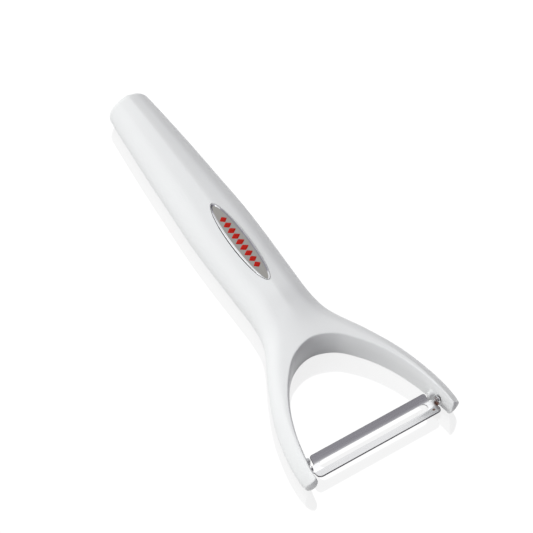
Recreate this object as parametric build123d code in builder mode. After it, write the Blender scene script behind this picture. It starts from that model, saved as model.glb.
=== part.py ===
"""Y-shaped vegetable peeler with a swivelling slotted blade.

Millimetres, +Z up. The peeler lies on its underside at z = 0 with its badge uppermost.
+Y runs from the blade towards the end of the handle, and X runs along the blade.
The origin is under the middle of the peeler's length.
"""
import os
from math import atan, cos, radians, sin, tan

from build123d import *

os.makedirs("parts", exist_ok=True)

# Overall sizes of the moulded body
overall_length = 178.5
tip_reach = 8.1  # from the blade's axis forward to the tips of the arms
head_width = 64.8
neck_width = 22.9
handle_width = 24.4
end_width = 17.0
neck_reach = 62.0  # from the blade's axis back to the narrowest place
tip_height = 12.4
handle_height = 16.0
end_height = 14.0
end_rounding = 2.4

# Cross-section of the moulded body
arm_flank = 4.8  # how far in from the side the top starts to fall, on the arms
handle_flank = 7.4
arm_widest_height = 6.4
handle_widest_height = 7.2
foot_rounding = 3.2
ridge_drop = 0.9  # from the ridge down to where the flank starts, on the handle
arm_drop = 0.4

# The arch between the arms
arch_reach = 41.3
arm_wall = 4.55  # thickness of an arm beside the blade
mouth_flare = 0.7  # how much further from the middle the inner walls are at the tips
tip_rounding = 0.4
tip_rake = 3.4  # how far the tips are cut back at the floor

# The blade, a slotted channel of sheet steel
blade_seat_height = 4.6  # top of the sheet at the slot
blade_width = 8.9
front_setback = 0.9  # from an ear's outer face back to the end of the front strip
rear_setback = 3.3  # and to the end of the rear strip
slot_setback = 4.3  # and to the end of the slot
slot_width = 3.05
sheet = 0.6
wing_angle = 22.5
front_corner = 1.7
rear_corner = 0.9
grind_width = 0.9  # of the bevels ground under the slot's two edges
edge_land = 0.12

# The blade's bearings in the arms
axis_height = 6.1
blade_trim = 0.15  # the axis stands this far in front of the slot, over the blade's balance
ear_width = 3.0
ear_corner = 0.4
end_play = 0.3
pin_diameter = 1.8
pin_engagement = 2.8  # length of the pin inside its arm
pin_head_diameter = 2.4
pin_head_height = 0.3
running_clearance = 0.05
hole_spare = 0.3
pin_chamfer = 0.25
head_round_share = 0.8  # of the head's height
pad_proud = 0.65  # how far a bearing pad stands out of its arm
pad_width = 3.9
pad_top = 9.4
pad_foot = 1.6
arm_bite = 1.6  # how far the pads and ribs reach into the arms
groove_width = 1.6
groove_depth = 1.2
swing_angle = 25.0
stop_clearance = 0.04
stop_gap = 0.5  # from the end of the rear strip to a stop rib
stop_foot = 2.2
stop_top = 8.6
stop_thickness = 2.1
stop_rounding = 0.5

# The hollow of the handle and its inset cover
cover_start_margin = 4.0  # from the neck
cover_end_margin = 10.4  # from the handle's end
cover_margin = 1.3  # flat rim left round the cover
cover_thickness = 1.8
cover_gap = 0.1
ledge = 1.2
roof_wall = 2.6
roof_rounding = 1.0
cover_corner = 3.2
cover_end_share = 0.3  # bulge of the cover's ends, of their half width
socket_diameter = 6.0
socket_lift = 0.6
peg_diameter = 3.0
peg_play = 0.05
peg_length = 7.0
rib_thickness = 1.2
rib_height = 4.0
rib_spare = 0.8
peg_shares = (0.1, 0.5, 0.9)

# The badge let into the top of the handle
badge_reach = 88.7  # from the blade's axis to the badge's middle
badge_length = 39.6
badge_width = 7.4
badge_depth = 1.1
badge_play = 0.08
bezel_width = 0.75
bezel_proud = 0.25
bezel_rounding = 0.25
tape_thickness = 0.2
plate_thickness = 0.55
lozenge_length = 2.6
lozenge_width = 3.7
lozenge_pitch = 2.9
lozenge_count = 9
enamel_depth = 0.2
enamel_proud = 0.05

overrun = 3.0  # how far cutting shapes pass the faces that they cut

# Places along Y in the part's own frame
blade_y = tip_reach - overall_length / 2
tip_y = blade_y - tip_reach
end_y = blade_y + overall_length - tip_reach
neck_y = blade_y + neck_reach
axis_y = blade_y - blade_trim

# Places across the blade, out from the middle
arm_gap = head_width - 2 * arm_wall
mouth_gap = arm_gap + 2 * mouth_flare
pad_face = arm_gap / 2 - pad_proud
ear_face = pad_face - end_play
blade_reach = ear_face - front_setback
rear_reach = ear_face - rear_setback
slot_reach = ear_face - slot_setback
stop_reach = rear_reach + stop_gap
pin_reach = pad_face + pin_engagement

# Stations of the head: place between blade and neck, then how far the width, the height
# and the flank have gone from the neck's value to the arms' value
head_shares = [
    (-0.050, 1.000, 1.00, 1.00),
    (0.060, 0.981, 1.00, 1.00),
    (0.155, 0.938, 0.97, 1.00),
    (0.252, 0.861, 0.93, 0.95),
    (0.335, 0.783, 0.89, 0.85),
    (0.420, 0.690, 0.85, 0.72),
    (0.508, 0.577, 0.80, 0.55),
    (0.627, 0.400, 0.70, 0.30),
    (0.710, 0.255, 0.60, 0.15),
    (0.780, 0.138, 0.48, 0.05),
    (0.845, 0.060, 0.33, 0.00),
    (0.920, 0.015, 0.17, 0.00),
]
# Stations from the neck to the widest place of the handle
grip_shares = [(0.22, 0.16, 0.00), (0.60, 0.73, 0.00)]
# Stations from the widest place to the end: place, width and height gone to the end's value
tail_shares = [(0.00, 0.00, 0.00), (0.40, 0.21, 0.12), (0.74, 0.63, 0.45), (1.00, 1.00, 1.00)]
widest_share = 0.46  # place of the handle's widest section between neck and end
tip_width_share = 0.972  # width across the tips, of the head's width


# The arch's outline from the crown to the blade: across as a share of half the gap, along as
# a share of the arch's reach
arch_shares = [(0.315, 0.932), (0.545, 0.781), (0.760, 0.564), (0.903, 0.325), (0.990, 0.050)]


def between(start, stop, share):
    """The value that lies a share of the way from start to stop."""
    return start + (stop - start) * share


def body_stations():
    """Y, half width, height, flank, flank start drop and widest height of each section."""
    rows = [(tip_y, head_width * tip_width_share / 2, tip_height, arm_flank, arm_drop, arm_widest_height)]
    for place, width, height, flank in head_shares:
        rows.append((
            between(blade_y, neck_y, place),
            between(neck_width, head_width, width) / 2,
            between(handle_height, tip_height, height),
            between(handle_flank, arm_flank, flank),
            between(ridge_drop, arm_drop, flank),
            between(handle_widest_height, arm_widest_height, flank),
        ))
    rows.append((neck_y, neck_width / 2, handle_height, handle_flank, ridge_drop, handle_widest_height))
    widest_y = between(neck_y, end_y, widest_share)
    for place, width, height in grip_shares:
        rows.append((
            between(neck_y, widest_y, place),
            between(neck_width, handle_width, width) / 2,
            handle_height,
            handle_flank,
            ridge_drop,
            handle_widest_height,
        ))
    for place, width, height in tail_shares:
        rows.append((
            between(widest_y, end_y, place),
            between(handle_width, end_width, width) / 2,
            between(handle_height, end_height, height),
            handle_flank * between(handle_width, end_width, width) / handle_width,
            ridge_drop,
            handle_widest_height * between(handle_height, end_height, height) / handle_height,
        ))
    return rows


def body_section(y, half, height, flank, drop, widest):
    """Closed section of the body: crowned top, flanks that leave it without a crease, rounded
    foot, flat underside."""
    shoulder = half - flank
    foot = half - foot_rounding
    top = height - drop
    crown_slope = tan(2 * atan(drop / shoulder))  # where the crown's arc ends
    flank_corner = top - crown_slope * flank
    quarter_weights = (1, cos(radians(45)), 1)  # of a conic that makes a quarter turn
    with BuildSketch(Plane.XZ.offset(-y), mode=Mode.PRIVATE) as section:
        with BuildLine():
            ThreePointArc((-shoulder, top), (0, height), (shoulder, top))
            for side, lower in ((1, 270), (-1, 180)):
                Bezier(
                    (side * shoulder, top),
                    (side * half, flank_corner),
                    (side * half, widest),
                    weights=quarter_weights,
                )
                EllipticalCenterArc(
                    (side * foot, widest), foot_rounding, widest, start_angle=lower, arc_size=90
                )
            Line((-foot, 0), (foot, 0))
        make_face()
    return section.sketch


def body_value(y, column):
    """A value of the body's sections at any y, by straight lines between the stations."""
    rows = body_stations()
    for before, after in zip(rows, rows[1:]):
        if y <= after[0]:
            break
    return between(before[column], after[column], (y - before[0]) / (after[0] - before[0]))


# The badge's and the cover's places, and the ends of the blade's swing
badge_y = blade_y + badge_reach
badge_floor = handle_height - badge_depth
cover_start_y = neck_y + cover_start_margin
cover_end_y = end_y - cover_end_margin
cover_middle_y = (cover_start_y + cover_end_y) / 2
drop_of_sheet = sheet / cos(radians(wing_angle))
web_foot = blade_seat_height - drop_of_sheet
ear_half_height = axis_height - web_foot
stop_face = (ear_width / 2) * cos(radians(swing_angle)) + ear_half_height * sin(radians(swing_angle))
stop_face_y = axis_y + stop_face + stop_clearance


def cover_outline():
    """Outline of the underside cover: it follows the handle's sides at an even margin."""
    inset = foot_rounding + cover_margin
    sides = [(body_value(y, 1) - inset, y) for y in (cover_start_y, cover_middle_y, cover_end_y)]
    start, middle, end = sides
    with BuildSketch(mode=Mode.PRIVATE) as outline:
        with BuildLine():
            ThreePointArc(start, middle, end)
            ThreePointArc(end, (0, end[1] + end[0] * cover_end_share), (-end[0], end[1]))
            ThreePointArc((-end[0], end[1]), (-middle[0], middle[1]), (-start[0], start[1]))
            ThreePointArc((-start[0], start[1]), (0, start[1] - start[0] * cover_end_share), start)
        make_face()
        fillet(outline.vertices(), cover_corner)
    return outline.sketch


def peg_places():
    """The pegs stand on the middle line, evenly between the cover's ends."""
    return [between(cover_start_y, cover_end_y, share) for share in peg_shares]


with BuildPart() as hollow:
    with BuildSketch(Plane.XY.offset(-overrun)):
        add(cover_outline())
        offset(amount=-ledge, kind=Kind.INTERSECTION)
    extrude(amount=handle_height - roof_wall + overrun)
    fillet(hollow.faces().sort_by(Axis.Z)[-1].edges(), roof_rounding)

with BuildPart() as handle_shell:
    for station in body_stations():
        add(body_section(*station))
    loft()
    fillet(handle_shell.faces().sort_by(Axis.Y)[-1].edges(), end_rounding)
    # The arch, cut straight down between the arms and out past their tips
    with BuildSketch(Plane.XY.offset(-overrun)):
        right = [
            (across * arm_gap / 2, blade_y + along * arch_reach) for across, along in arch_shares
        ]
        right.append((mouth_gap / 2, tip_y))
        crown = (0, blade_y + arch_reach)
        left = [(-x, y) for x, y in reversed(right)]
        mouth_y = tip_y - overrun
        with BuildLine():
            Spline(*left, crown, *right)
            Polyline(right[-1], (mouth_gap / 2, mouth_y), (-mouth_gap / 2, mouth_y), left[0])
        make_face()
    extrude(amount=handle_height + 2 * overrun, mode=Mode.SUBTRACT)
    # The tips, cut back underneath in a long curve, with softened edges
    with BuildSketch(Plane.YZ.offset(-head_width / 2 - overrun)):
        with BuildLine():
            TangentArc((tip_y, tip_height), (tip_y + tip_rake, 0), tangent=(0, -1))
            Polyline(
                (tip_y + tip_rake, 0),
                (tip_y + tip_rake, -overrun),
                (tip_y - overrun, -overrun),
                (tip_y - overrun, tip_height),
                (tip_y, tip_height),
            )
        make_face()
    extrude(amount=head_width + 2 * overrun, mode=Mode.SUBTRACT)
    fronts = handle_shell.faces().filter_by(lambda face: face.center().Y < tip_y + tip_rake)
    fillet([edge for edge in fronts.edges() if edge.center().Z > tip_rounding], tip_rounding)
    # The hollow, the seat of the cover, and the sockets of its pegs
    add(hollow.part, mode=Mode.SUBTRACT)
    with BuildSketch(Plane.XY.offset(-overrun)):
        add(cover_outline())
        offset(amount=cover_gap, kind=Kind.INTERSECTION)
    extrude(amount=cover_thickness + overrun, mode=Mode.SUBTRACT)
    for y in peg_places():
        socket_foot = cover_thickness + socket_lift
        with BuildSketch(Plane.XY.offset(socket_foot)):
            with Locations((0, y)):
                Circle(socket_diameter / 2)
        extrude(amount=body_value(y, 2) - roof_wall / 2 - socket_foot)
        with BuildSketch(Plane.XY.offset(socket_foot)):
            with Locations((0, y)):
                Circle(peg_diameter / 2 + peg_play)
        extrude(amount=peg_length, mode=Mode.SUBTRACT)
    # The badge's recess
    with BuildSketch(Plane.XY.offset(badge_floor)):
        with Locations((0, badge_y)):
            Ellipse(badge_width / 2 + badge_play, badge_length / 2 + badge_play)
    extrude(amount=badge_depth + overrun, mode=Mode.SUBTRACT)
    # A bearing pad, a stop rib, a bearing hole and its lead-in groove on each arm
    for side in (1, -1):
        with BuildSketch(Plane.YZ.offset(side * pad_face)):
            with Locations((axis_y, (pad_foot + pad_top) / 2)):
                SlotOverall(pad_top - pad_foot, pad_width, rotation=90)
        extrude(amount=side * arm_bite)
        with BuildSketch(Plane.YZ.offset(side * stop_reach)):
            with Locations((stop_face_y + stop_thickness / 2, (stop_foot + stop_top) / 2)):
                RectangleRounded(stop_thickness, stop_top - stop_foot, stop_rounding)
        extrude(amount=side * (pad_face + arm_bite - stop_reach))
        with BuildSketch(Plane.YZ.offset(side * pad_face)):
            with Locations((axis_y, axis_height)):
                Circle(pin_diameter / 2 + running_clearance)
        extrude(amount=side * (pin_reach + hole_spare - pad_face), mode=Mode.SUBTRACT)
        with BuildSketch(Plane.XZ.offset(-axis_y)):
            with BuildLine():
                Polyline(
                    (side * ear_face, axis_height),
                    (side * (pad_face + groove_depth / 2), axis_height),
                    (side * (pad_face + groove_depth), handle_height),
                    (side * ear_face, handle_height),
                    close=True,
                )
            make_face()
        extrude(amount=groove_width / 2, both=True, mode=Mode.SUBTRACT)

with BuildPart() as handle_cover:
    with BuildSketch():
        add(cover_outline())
    extrude(amount=cover_thickness)
    for y in peg_places():
        with BuildSketch(Plane.XY.offset(cover_thickness)):
            with Locations((0, y)):
                Circle(peg_diameter / 2)
        extrude(amount=peg_length)
    spine_gap = socket_diameter / 2 + rib_spare
    for before, after in zip(peg_places(), peg_places()[1:]):
        with BuildSketch(Plane.XY.offset(cover_thickness)):
            with Locations((0, (before + after) / 2)):
                Rectangle(rib_thickness, after - before - 2 * spine_gap)
        extrude(amount=rib_height)

bezel_plane = Plane((0, badge_y, badge_floor + tape_thickness))
inner_width = badge_width / 2 - bezel_width
inner_length = badge_length / 2 - bezel_width

with BuildPart() as badge_tape:
    with BuildSketch(Plane((0, badge_y, badge_floor))):
        Ellipse(badge_width / 2 - badge_play, badge_length / 2 - badge_play)
    extrude(amount=tape_thickness)

with BuildPart() as badge_bezel:
    with BuildSketch(bezel_plane):
        Ellipse(badge_width / 2, badge_length / 2)
        Ellipse(inner_width, inner_length, mode=Mode.SUBTRACT)
    extrude(amount=badge_depth - tape_thickness + bezel_proud)
    top = badge_bezel.faces().sort_by(Axis.Z)[-1]
    fillet(top.edges(), bezel_rounding)


def lozenges(plane):
    """The row of lozenges, each as wide as the oval lets it be at its place."""
    with BuildSketch(plane, mode=Mode.PRIVATE) as row:
        for number in range(lozenge_count):
            along = (number - (lozenge_count - 1) / 2) * lozenge_pitch
            narrowing = (1 - (along / inner_length) ** 2) ** 0.5
            half = lozenge_width / 2 * narrowing
            with Locations((0, along)):
                Polygon(
                    (half, 0), (0, lozenge_length / 2), (-half, 0), (0, -lozenge_length / 2)
                )
    return row.sketch


with BuildPart() as badge_plate:
    with BuildSketch(bezel_plane):
        Ellipse(inner_width - badge_play, inner_length - badge_play)
    extrude(amount=plate_thickness)
    add(lozenges(bezel_plane.offset(plate_thickness - enamel_depth)))
    extrude(amount=enamel_depth, mode=Mode.SUBTRACT)

with BuildPart() as badge_enamel:
    add(lozenges(bezel_plane.offset(plate_thickness - enamel_depth)))
    extrude(amount=enamel_depth + enamel_proud)

with BuildPart() as blade:
    # A shallow channel of sheet, a flat web between two rising wings, along the whole blade
    rise = (blade_width - slot_width) / 2 * tan(radians(wing_angle))
    top_line = [
        (blade_y - blade_width / 2, blade_seat_height + rise),
        (blade_y - slot_width / 2, blade_seat_height),
        (blade_y + slot_width / 2, blade_seat_height),
        (blade_y + blade_width / 2, blade_seat_height + rise),
    ]
    under_line = [(y, z - drop_of_sheet) for y, z in reversed(top_line)]
    with BuildSketch(Plane.YZ.offset(-ear_face)):
        Polygon(*top_line, *under_line, align=None)
    extrude(amount=2 * ear_face)
    # Outline of the blank: long front strip, shorter rear strip, a tab at each end
    with BuildSketch(Plane.XY) as blank:
        front_y = blade_y - blade_width / 2
        rear_y = blade_y + blade_width / 2
        tab_front_y = axis_y - ear_width / 2
        tab_rear_y = axis_y + ear_width / 2
        with BuildLine():
            Polyline(
                (-blade_reach, front_y),
                (blade_reach, front_y),
                (blade_reach, tab_front_y),
                (ear_face, tab_front_y),
                (ear_face, tab_rear_y),
                (rear_reach, tab_rear_y),
                (rear_reach, rear_y),
                (-rear_reach, rear_y),
                (-rear_reach, tab_rear_y),
                (-ear_face, tab_rear_y),
                (-ear_face, tab_front_y),
                (-blade_reach, tab_front_y),
                close=True,
            )
        make_face()
        corners = blank.vertices().group_by(Axis.Y)
        fillet(corners[0], front_corner)
        fillet(corners[-1], rear_corner)
    extrude(amount=handle_height, mode=Mode.INTERSECT)
    with BuildSketch(Plane.XY):
        with Locations((0, blade_y)):
            SlotOverall(2 * slot_reach, slot_width)
    extrude(amount=handle_height, mode=Mode.SUBTRACT)
    # The bevels ground under the slot's edges
    for edge in (-1, 1):
        slot_edge = blade_y + edge * slot_width / 2
        grind_rise = grind_width * tan(radians(wing_angle))
        with BuildSketch(Plane.YZ.offset(-slot_reach + slot_width / 2)):
            Polygon(
                (slot_edge, blade_seat_height - edge_land),
                (slot_edge + edge * grind_width, blade_seat_height + grind_rise - drop_of_sheet),
                (slot_edge + edge * grind_width, web_foot - overrun),
                (slot_edge - edge * grind_width, web_foot - overrun),
                (slot_edge - edge * grind_width, blade_seat_height - edge_land),
                align=None,
            )
        extrude(amount=2 * slot_reach - slot_width, mode=Mode.SUBTRACT)
    # The ears, bent up square from the tabs, and the holes that their pins are riveted in
    for side in (1, -1):
        ear_plane = Plane.YZ.offset(side * (ear_face - sheet / 2))
        with BuildSketch(ear_plane):
            with Locations((axis_y, axis_height)):
                RectangleRounded(ear_width, 2 * ear_half_height, ear_corner)
        extrude(amount=sheet / 2, both=True)
        with BuildSketch(ear_plane):
            with Locations((axis_y, axis_height)):
                Circle(pin_diameter / 2)
        extrude(amount=sheet / 2, both=True, mode=Mode.SUBTRACT)


def pivot_pin(side):
    """A riveted pin: a domed head inside the ear and a shank that turns in the arm."""
    head_plane = Plane((side * (ear_face - sheet), axis_y, axis_height), z_dir=(side, 0, 0))
    with BuildPart() as pin:
        with BuildSketch(head_plane):
            Circle(pin_diameter / 2)
        extrude(amount=pin_reach - ear_face + sheet)
        tip = pin.faces().sort_by(Axis((0, 0, 0), (side, 0, 0)))[-1]
        chamfer(tip.edges(), pin_chamfer)
        with BuildSketch(head_plane):
            Circle(pin_head_diameter / 2)
        extrude(amount=-pin_head_height)
        head = pin.faces().sort_by(Axis((0, 0, 0), (-side, 0, 0)))[-1]
        fillet(head.edges(), pin_head_height * head_round_share)
    return pin.part


with BuildPart() as pivot_pin_right:
    add(pivot_pin(1))

with BuildPart() as pivot_pin_left:
    add(pivot_pin(-1))

nodes = {
    "handle_shell": handle_shell,
    "handle_cover": handle_cover,
    "badge_tape": badge_tape,
    "badge_plate": badge_plate,
    "badge_enamel": badge_enamel,
    "badge_bezel": badge_bezel,
    "blade": blade,
    "pivot_pin_left": pivot_pin_left,
    "pivot_pin_right": pivot_pin_right,
}
for name, node in nodes.items():
    node.part.label = name
    export_step(node.part, f"parts/{name}.step")
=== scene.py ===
# %% [markdown]
# # A vegetable peeler, dressed in Blender
#
# The peeler lies on its underside, badge up. Its solids come from CAD and keep their places.
# Here each of them gets the surface that the eye sees: the moulded body as one soft skin,
# the bent and ground blade, and the badge with its rim. Shapes are worked out in millimetres
# and turned into metres where a mesh is made.

from math import cos, pi, radians, sin

import bmesh
import bpy
import numpy as np
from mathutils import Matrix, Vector


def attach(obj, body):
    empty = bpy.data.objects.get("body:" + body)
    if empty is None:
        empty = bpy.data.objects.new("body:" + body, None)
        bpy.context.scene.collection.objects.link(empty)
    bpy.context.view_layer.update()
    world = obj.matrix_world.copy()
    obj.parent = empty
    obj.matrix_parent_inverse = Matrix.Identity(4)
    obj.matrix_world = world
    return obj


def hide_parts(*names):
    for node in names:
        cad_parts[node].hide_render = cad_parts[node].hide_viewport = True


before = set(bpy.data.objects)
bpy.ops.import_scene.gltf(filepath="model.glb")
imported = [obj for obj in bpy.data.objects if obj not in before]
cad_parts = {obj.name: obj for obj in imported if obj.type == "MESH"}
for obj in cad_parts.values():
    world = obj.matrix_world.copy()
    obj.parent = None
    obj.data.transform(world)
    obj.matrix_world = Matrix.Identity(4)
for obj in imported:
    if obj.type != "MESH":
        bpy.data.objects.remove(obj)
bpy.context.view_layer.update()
mm = 0.001


# %% [markdown]
# ## How a skin is made
#
# Every new piece is a few grids of points, worked out with numpy. A grid gives a quad
# between each four neighbours. Where two grids meet they share their points, and merging
# those makes one closed skin. Pushing faces about by hand would also work, but a formula
# can be read, measured and changed.

# %% A skin from grids
merge_within, collapse_under = 0.0003, 0.0002  # mm


def skin(name, grids, crease=32):
    """A mesh object from grids of points in mm. Each grid has rows and columns of points,
    and four neighbours make a quad. Points that meet become one, quads that have shrunk to a
    line go, and edges that turn by more than the crease angle stay sharp."""
    points, faces, start = [], [], 0
    for grid in grids:
        rows, columns = grid.shape[:2]
        number = start + np.arange(rows * columns).reshape(rows, columns)
        corners = [number[:-1, :-1], number[:-1, 1:], number[1:, 1:], number[1:, :-1]]
        faces.append(np.stack(corners, axis=-1).reshape(-1, 4))
        points.append(grid.reshape(-1, 3))
        start += rows * columns
    mesh = bpy.data.meshes.new(name)
    mesh.from_pydata(np.concatenate(points) * mm, [], np.concatenate(faces).tolist())
    work = bmesh.new()
    work.from_mesh(mesh)
    bmesh.ops.remove_doubles(work, verts=work.verts, dist=merge_within * mm)
    bmesh.ops.dissolve_degenerate(work, dist=collapse_under * mm, edges=work.edges)
    bmesh.ops.recalc_face_normals(work, faces=work.faces)
    loose = sum(1 for edge in work.edges if len(edge.link_faces) != 2)
    work.to_mesh(mesh)
    work.free()
    mesh.shade_smooth()
    mesh.set_sharp_from_angle(angle=radians(crease))
    piece = bpy.data.objects.new(name, mesh)
    bpy.context.scene.collection.objects.link(piece)
    print(name, "has", len(mesh.polygons), "faces and", loose, "edges without two faces")
    return piece


def mirrored(grids):
    """The same grids and their mirror images across the plane x = 0."""
    return grids + [grid * (-1, 1, 1) for grid in grids]


print("points within", merge_within, "mm of each other become one")


# %% Smooth lines, soft steps and quarter turns
def through(knots, values, at):
    """The value at any place on a smooth line: a cubic between each two knots, which leaves
    each knot with the slope of the parabola through it and its neighbours."""
    slopes = np.gradient(values, knots)
    i = np.clip(np.searchsorted(knots, at) - 1, 0, len(knots) - 2)
    span = knots[i + 1] - knots[i]
    t = (at - knots[i]) / span
    ends = values[i] * (1 + 2 * t) * (1 - t) ** 2 + values[i + 1] * t**2 * (3 - 2 * t)
    return ends + span * (slopes[i] * t * (1 - t) ** 2 + slopes[i + 1] * t**2 * (t - 1))


def smooth(share):
    """A soft step from 0 to 1: three times the square less twice the cube."""
    share = np.clip(share, 0, 1)
    return share**2 * (3 - 2 * share)


def quarter(steps):
    """Angles from 0 to a right angle, in even steps."""
    return np.linspace(0, pi / 2, steps + 1)


print("a soft step at 1/4, 1/2 and 3/4:", smooth(np.array([0.25, 0.5, 0.75])).tolist())


# %% [markdown]
# ## The body
#
# The real body is one injection moulding: two arms that run together at a crown and go on as
# the handle. Its cross-section has a low roof with a soft ridge, flanks that fall like a
# quarter of an ellipse, and a flat underside. Sculpting could give such a form, but not the
# same one on both sides. So the height is a function of the place in plan, and the skin is
# that function over rays that run from the arch, or from the middle line, out to the side.

# %% Body: its stations in mm
# y, half width, height, width of the falling flank, drop of the roof, height of the widest place
stations = np.array([
    (-89.250, 32.150, 12.400, 4.300, 0.400, 6.400),
    (-84.250, 32.370, 12.400, 4.300, 0.400, 6.400),
    (-77.430, 32.002, 12.400, 4.300, 0.400, 6.400),
    (-71.540, 31.050, 12.508, 4.350, 0.400, 6.400),
    (-65.526, 29.650, 12.652, 4.500, 0.425, 6.440),
    (-60.380, 28.100, 12.796, 4.850, 0.475, 6.520),
    (-55.110, 26.050, 12.940, 5.350, 0.540, 6.624),
    (-49.654, 23.550, 13.120, 5.970, 0.625, 6.760),
    (-42.276, 19.900, 13.480, 6.620, 0.750, 6.960),
    (-37.130, 17.050, 13.840, 7.010, 0.825, 7.080),
    (-32.790, 14.850, 14.272, 7.270, 0.875, 7.160),
    (-28.760, 13.330, 14.812, 7.400, 0.900, 7.200),
    (-24.110, 12.400, 15.388, 7.400, 0.900, 7.200),
    (-19.150, 12.020, 16.000, 7.400, 0.900, 7.200),
    (-8.180, 12.130, 16.000, 7.400, 0.900, 7.200),
    (10.768, 12.460, 16.000, 7.400, 0.900, 7.200),
    (22.000, 12.430, 16.000, 7.400, 0.900, 7.200),
    (30.714, 12.060, 16.000, 7.400, 0.900, 7.200),
    (42.000, 11.420, 15.900, 7.200, 0.900, 7.150),
    (54.128, 10.800, 15.760, 6.929, 0.900, 7.092),
    (74.031, 9.450, 15.100, 5.986, 0.900, 6.795),
    (89.250, 8.300, 14.000, 5.156, 0.900, 6.300),
])
tip_y, end_y = stations[0, 0], stations[-1, 0]
print("body from y", tip_y, "to", end_y)

# %% Body: its width and the height of its top
ridge_softness, arm_softness = 0.22, 1.6  # shares of the roof's half width, the second for arms
soften_from, soften_over = -24, 16  # the y where the ridge starts to soften, and mm it takes
power_fall, fall_from, fall_over = 0.62, -44, 24  # how far the flank's power falls from 2


def half_width(y):
    """Half of the body's width at y, on the smooth line through the stations."""
    return through(stations[:, 0], stations[:, 1], y)


def top_height(x, y):
    """Height of the top: a roof whose ridge is a hyperbola, then a quarter of a sheared
    ellipse that leaves the roof at the roof's own slope and ends upright at the side. On the
    arms its power falls from 2, and it tilts sooner."""
    half, height, flank, drop, widest = (
        through(stations[:, 0], stations[:, column], y) for column in range(1, 6)
    )
    shoulder = half - flank
    share = np.clip(np.abs(x) / shoulder, 0, 1)
    soft = ridge_softness + arm_softness * np.clip((soften_from - y) / soften_over, 0, 1)
    reach = np.sqrt(1 + soft**2) - soft
    roof = height - drop * (np.sqrt(share**2 + soft**2) - soft) / reach
    slope = drop / shoulder / (np.sqrt(1 + soft**2) * reach)
    turn = np.clip((np.abs(x) - shoulder) / flank, 0, 1)
    upright = height - drop - slope * flank - widest
    power = 2 - power_fall * smooth((fall_from - y) / fall_over)
    return roof - slope * flank * turn - upright * (1 - (1 - turn**power) ** (1 / power))


print("the ridge stands", round(float(top_height(0.0, 0.0)), 2), "mm high over the middle")

# %% Body: the height of its underside
foot_rounding = 3.2
wider_by, wider_from, wider_over = 1.6, 81, 6  # the foot's rounding near the handle's end


def low_height(x, y):
    """Height of the underside: flat, then a quarter of an ellipse up to the widest place. It
    is wider at the handle's end, so that the end can be rounded over it."""
    widest = through(stations[:, 0], stations[:, 5], y)
    rounded = foot_rounding + wider_by * smooth((y - wider_from) / wider_over)
    turn = np.clip(1 - (half_width(y) - np.abs(x)) / rounded, 0, 1)
    return widest * (1 - np.sqrt(1 - turn**2))


print("the foot is flat out to x =", round(float(half_width(0.0)) - foot_rounding, 2), "at y = 0")

# %% [markdown]
# ### The arch between the arms
#
# The steel of the mould closes right through here, so the arch's wall stands almost upright.
# Its line is the one curve that the eye follows from tip to tip. A curve object could hold it,
# but its rows couldn't be chosen. So it is a few measured places and a smooth line through
# them, read at lengths that lie closer together where there is more to show.

# %% Body: the arch's line
# x and y along the arch's foot, from the right tip over the crown to a little past it
arch_knots = np.array([
    (29.30, -89.25), (28.50, -83.50), (27.50, -79.085), (24.60, -67.73), (20.55, -57.86),
    (14.80, -48.89), (8.60, -42.66), (0.00, -39.85), (-8.60, -42.66), (-14.80, -48.89),
])
crown_knot = 7
arch_run = np.append(0, np.cumsum(np.hypot(*np.diff(arch_knots, axis=0).T)))
fine_run = np.linspace(0, arch_run[crown_knot], 2001)
fine_arch = np.stack([through(arch_run, arch_knots[:, axis], fine_run) for axis in (0, 1)], 1)
true_run = np.append(0, np.cumsum(np.hypot(*np.diff(fine_arch, axis=0).T)))
arch_length = true_run[-1]
crown_y = arch_knots[crown_knot, 1]
print("half of the arch is", round(arch_length, 1), "mm long")

# %% Body: rows across the arm, closest together over the bearing hole and the stop rib
tip_rounding = 0.35
row_zones = [  # from and to, along the arch's line, and how many rows
    (tip_rounding, 3.6, 7), (3.6, 6.6, 16), (6.6, 9.4, 50), (9.4, 13.2, 58),
    (13.2, arch_length, 58),
]
arch_rows = np.concatenate(
    [tip_rounding * (1 - np.cos(quarter(8)))] + [np.linspace(*zone)[1:] for zone in row_zones]
)
arch_inner = np.stack(
    [np.interp(arch_rows, true_run, fine_arch[:, axis]) for axis in (0, 1)], axis=1
)
arch_inner[-1, 0] = 0
slope_x, slope_y = (np.gradient(arch_inner[:, axis], arch_rows) for axis in (0, 1))
arch_turn = np.arctan2(-slope_x, slope_y)
arch_turn[-1] = pi / 2
print(len(arch_rows), "rows from the tip to the crown")

# %% Body: how the rays turn towards the crown
crown_turn, turn_from, turn_power = radians(48), 14, 1.4
turned_share = np.clip((arch_rows - turn_from) / (arch_length - turn_from), 0, 1)
ray_turn = crown_turn * turned_share**turn_power
print("rays turn to", round(np.degrees(ray_turn[-1])), "degrees at the crown")

# %% [markdown]
# ### The handle's rows
#
# Along the handle the rays run straight across, from the middle line to the side. On top they
# leave room for the badge, whose recess was moulded so that the badge can't be knocked off.
# Underneath they leave room for a cover: a handle this thick would sink in as it cooled if it
# were solid, so it is hollow and closed from below.

# %% Body: the badge's recess and the cover's seat, in plan
level_y = -18.6  # from here on the rays run straight across
badge_y, badge_half, badge_reach = 7.55, 3.78, 19.88  # the recess's middle and half sizes
cover_ends, hollow_ends = (-15.15, 78.85), (-12.0, 76.0)
cover_gap, bulge_share, corner_power = 0.1, 0.3, 2.4
corner_reach = 3.2 * 0.62  # the corner's rounding, and the share of it that lies inside
cover_line = np.array([  # y and half width of the cover
    (-24.110, 7.264), (-19.150, 6.950), (-8.180, 7.070), (10.768, 7.497), (30.714, 7.700),
    (54.128, 6.923), (74.031, 5.369), (89.250, 4.000),
])


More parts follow.
